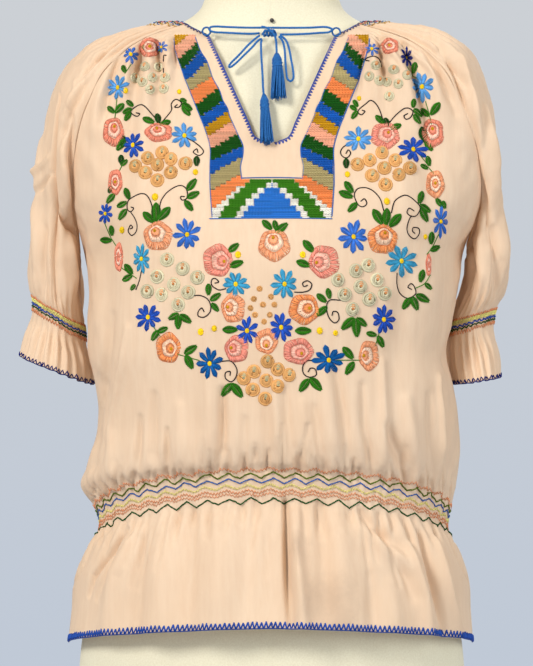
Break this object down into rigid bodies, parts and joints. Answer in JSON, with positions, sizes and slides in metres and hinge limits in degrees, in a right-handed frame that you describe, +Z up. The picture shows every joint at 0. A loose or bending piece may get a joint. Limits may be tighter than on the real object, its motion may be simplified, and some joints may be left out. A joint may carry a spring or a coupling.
{
  "type": "peasant blouse on a dress form",
  "caption": "Loose cotton blouse with slit neck, lace bow, raglan sleeves gathered at the cuffs and a gathered waist above a short skirt, standing on a limbless dress form.",
  "frame": {"origin": "middle of the dress form's flat base", "axes": "+Z up along the form, the front of the blouse faces -Y, +X to the viewer's right"},
  "size_m": [0.4538, 0.2702, 0.7583],
  "materials": {
    "cloth": "thin soft crepe cotton with coloured stitching",
    "form_canvas": "cream canvas, stretched smooth",
    "pin": "small dark pin head",
    "lace": "twisted blue embroidery thread"
  },
  "bodies": {
    "root": {"front": "cloth", "back": "cloth", "sleeve_left": "cloth", "sleeve_right": "cloth", "form_torso": "form_canvas", "form_cap": "form_canvas", "form_pin": "pin", "eyelet_left": "lace", "eyelet_right": "lace", "lace_cross": "lace", "bow_knot": "lace", "bow_loop_left": "lace", "bow_loop_right": "lace", "tail_left": "lace", "tail_right": "lace", "tassel_left": "lace", "tassel_right": "lace"}
  },
  "joints": []
}
